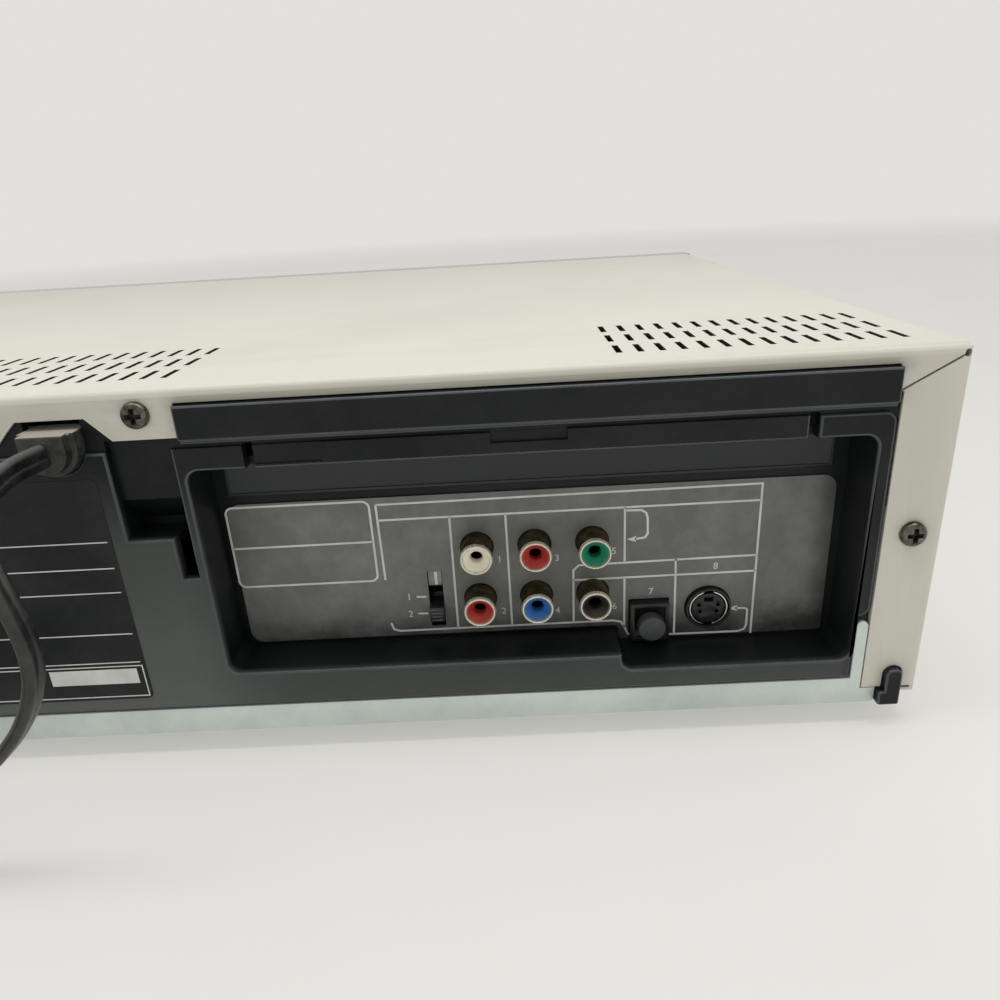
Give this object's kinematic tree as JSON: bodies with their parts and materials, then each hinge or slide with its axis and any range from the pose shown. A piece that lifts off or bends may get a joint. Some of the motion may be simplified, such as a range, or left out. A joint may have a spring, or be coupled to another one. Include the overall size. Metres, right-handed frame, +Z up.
{
  "type": "dvd vcr combo player",
  "caption": "Flat box-shaped disc player and cassette recorder with rear jack recesses, front disc tray, cassette flap, keys and mains lead.",
  "frame": {"origin": "on the table under the middle of the case, at the underside of the feet", "axes": "+Z up, front with the tray and the keys towards -Y, jacks towards +Y, +X to the right seen from the front"},
  "size_m": [0.434, 0.4015, 0.099],
  "materials": {
    "cover_paint": "light warm grey baked paint",
    "zinc_steel": "zinc coated sheet, slightly blue",
    "black_plastic": "moulded black plastic",
    "rubber": "matt black rubber",
    "dark_steel": "dark zinc coated",
    "printed_plate": "black printed plate",
    "plated_metal": "dull nickel and gold plate",
    "white_plastic": "satin",
    "red_plastic": "satin",
    "yellow_plastic": "satin",
    "green_plastic": "satin",
    "blue_plastic": "satin",
    "bright_steel": "bright zinc coated sheet",
    "machined_aluminium": "turned",
    "circuit_board": "lacquered laminate",
    "cord_black": "satin black PVC",
    "silver_plastic": "silver painted",
    "smoked_window": "smoked, glossy"
  },
  "bodies": {
    "case": {"top_cover": "cover_paint", "chassis_pan": "zinc_steel", "standoffs": "black_plastic", "feet": "rubber", "cover_screws": "dark_steel", "rear_panel": "black_plastic", "jack_plate": "printed_plate", "rca_barrels": "plated_metal", "rca_white": "white_plastic", "rca_red": "red_plastic", "rca_yellow": "yellow_plastic", "rca_green": "green_plastic", "rca_blue": "blue_plastic", "rca_black": "black_plastic", "svideo_jack": "black_plastic", "optical_jack": "black_plastic", "aerial_tuner": "bright_steel", "jack_boards": "circuit_board", "strain_relief": "black_plastic", "power_cord": "cord_black", "cord_coil": "cord_black", "plug": "cord_black", "front_panel": "silver_plastic", "display_window": "smoked_window", "front_board": "circuit_board", "circuit_boards": "circuit_board", "circuit_parts": "black_plastic", "drive_motors": "bright_steel", "loader_frame": "black_plastic", "drive_belt": "rubber", "clamp_bridge": "bright_steel", "deck_plate": "bright_steel", "tape_path": "machined_aluminium"},
    "disc_tray": {"disc_tray": "silver_plastic"},
    "tray_gear": {"tray_gear": "white_plastic"},
    "motor_pulley": {"motor_pulley": "white_plastic"},
    "traverse": {"traverse": "black_plastic"},
    "turntable": {"turntable": "dark_steel"},
    "pickup_sled": {"pickup_sled": "bright_steel"},
    "clamper": {"clamper": "white_plastic"},
    "cassette_door": {"cassette_door": "silver_plastic"},
    "basket_carriage": {"basket_carriage": "bright_steel"},
    "cassette_basket": {"cassette_basket": "bright_steel"},
    "upper_drum": {"upper_drum": "machined_aluminium"},
    "capstan": {"capstan": "dark_steel"},
    "pinch_arm": {"pinch_arm": "black_plastic"},
    "pinch_roller": {"pinch_roller": "rubber"},
    "supply_reel": {"supply_reel": "white_plastic"},
    "takeup_reel": {"takeup_reel": "white_plastic"},
    "idler": {"idler": "black_plastic"},
    "switch_knob": {"switch_knob": "black_plastic"},
    "optical_cap": {"optical_cap": "black_plastic"},
    "power_key": {"power_key": "silver_plastic"},
    "open_key": {"open_key": "silver_plastic"},
    "eject_key": {"eject_key": "silver_plastic"},
    "dvd_play_key": {"dvd_play_key": "silver_plastic"},
    "play_key": {"play_key": "silver_plastic"},
    "stop_key": {"stop_key": "silver_plastic"},
    "rewind_key": {"rewind_key": "silver_plastic"},
    "forward_key": {"forward_key": "silver_plastic"}
  },
  "joints": [
    {"name": "tray_slide", "type": "slide", "parent": "case", "child": "disc_tray", "axis": [0, -1, 0], "range_m": [0, 0.135]},
    {"name": "tray_gear_spin", "type": "hinge", "parent": "case", "child": "tray_gear", "pos_m": [-0.152, -0.112, 0.07], "axis": [0, 0, 1], "range_deg": [0, 650]},
    {"name": "motor_pulley_spin", "type": "hinge", "parent": "case", "child": "motor_pulley", "pos_m": [-0.122, -0.112, 0.066], "axis": [0, 0, 1], "range_deg": [0, 2030]},
    {"name": "traverse_tilt", "type": "hinge", "parent": "case", "child": "traverse", "pos_m": [-0.11, 0.044, 0.0613], "axis": [1, 0, 0], "range_deg": [0, 5]},
    {"name": "turntable_spin", "type": "hinge", "parent": "traverse", "child": "turntable", "pos_m": [-0.11, -0.066, 0.0786], "axis": [0, 0, 1], "continuous": true},
    {"name": "clamper_spin", "type": "hinge", "parent": "case", "child": "clamper", "pos_m": [-0.11, -0.066, 0.084], "axis": [0, 0, 1], "continuous": true},
    {"name": "sled_slide", "type": "slide", "parent": "traverse", "child": "pickup_sled", "axis": [0, 1, 0], "range_m": [0, 0.034]},
    {"name": "cassette_door_hinge", "type": "hinge", "parent": "case", "child": "cassette_door", "pos_m": [0.1, -0.136, 0.083], "axis": [1, 0, 0], "range_deg": [0, 80], "stiffness_Nm_per_rad": 0.01, "springref_deg": -17.19},
    {"name": "carriage_slide", "type": "slide", "parent": "case", "child": "basket_carriage", "axis": [0, 1, 0], "range_m": [0, 0.062]},
    {"name": "basket_drop", "type": "slide", "parent": "basket_carriage", "child": "cassette_basket", "axis": [0, 0, -1], "range_m": [0, 0.016]},
    {"name": "drum_spin", "type": "hinge", "parent": "case", "child": "upper_drum", "pos_m": [0.1, 0.072, 0.0412], "axis": [0, -0.1011, 0.9949], "continuous": true},
    {"name": "capstan_spin", "type": "hinge", "parent": "case", "child": "capstan", "pos_m": [0.152, 0.044, 0.04], "axis": [0, 0, 1], "continuous": true},
    {"name": "pinch_arm_swing", "type": "hinge", "parent": "case", "child": "pinch_arm", "pos_m": [0.18, 0.058, 0.05], "axis": [0, 0, -1], "range_deg": [0, 14]},
    {"name": "pinch_roller_spin", "type": "hinge", "parent": "pinch_arm", "child": "pinch_roller", "pos_m": [0.1645, 0.03712, 0.06], "axis": [0, 0, 1], "continuous": true},
    {"name": "supply_reel_spin", "type": "hinge", "parent": "case", "child": "supply_reel", "pos_m": [0.054, -0.01, 0.044], "axis": [0, 0, 1], "continuous": true},
    {"name": "takeup_reel_spin", "type": "hinge", "parent": "case", "child": "takeup_reel", "pos_m": [0.146, -0.01, 0.044], "axis": [0, 0, 1], "continuous": true},
    {"name": "idler_swing", "type": "hinge", "parent": "case", "child": "idler", "pos_m": [0.1, -0.034, 0.042], "axis": [0, 0, 1], "range_deg": [-6.4, 6.4]},
    {"name": "select_switch", "type": "slide", "parent": "case", "child": "switch_knob", "axis": [0, 0, 1], "range_m": [0, 0.005]},
    {"name": "optical_cap_pull", "type": "slide", "parent": "case", "child": "optical_cap", "axis": [0, 1, 0], "range_m": [0, 0.01]},
    {"name": "power_press", "type": "slide", "parent": "case", "child": "power_key", "axis": [0, 1, 0], "range_m": [0, 0.0008], "stiffness_N_per_m": 300, "springref_m": -0.001},
    {"name": "open_press", "type": "slide", "parent": "case", "child": "open_key", "axis": [0, 1, 0], "range_m": [0, 0.0008], "stiffness_N_per_m": 300, "springref_m": -0.001},
    {"name": "eject_press", "type": "slide", "parent": "case", "child": "eject_key", "axis": [0, 1, 0], "range_m": [0, 0.0008], "stiffness_N_per_m": 300, "springref_m": -0.001},
    {"name": "dvd_play_press", "type": "slide", "parent": "case", "child": "dvd_play_key", "axis": [0, 1, 0], "range_m": [0, 0.0008], "stiffness_N_per_m": 300, "springref_m": -0.001},
    {"name": "play_press", "type": "slide", "parent": "case", "child": "play_key", "axis": [0, 1, 0], "range_m": [0, 0.0008], "stiffness_N_per_m": 300, "springref_m": -0.001},
    {"name": "stop_press", "type": "slide", "parent": "case", "child": "stop_key", "axis": [0, 1, 0], "range_m": [0, 0.0008], "stiffness_N_per_m": 300, "springref_m": -0.001},
    {"name": "rewind_press", "type": "slide", "parent": "case", "child": "rewind_key", "axis": [0, 1, 0], "range_m": [0, 0.0008], "stiffness_N_per_m": 300, "springref_m": -0.001},
    {"name": "forward_press", "type": "slide", "parent": "case", "child": "forward_key", "axis": [0, 1, 0], "range_m": [0, 0.0008], "stiffness_N_per_m": 300, "springref_m": -0.001}
  ],
  "couplings": [
    {"joint": "tray_gear_spin", "follows": "tray_slide", "rad_per_m": 83.333},
    {"joint": "motor_pulley_spin", "follows": "tray_slide", "rad_per_m": 260.42},
    {"joint": "clamper_spin", "follows": "turntable_spin", "ratio": 1}
  ]
}
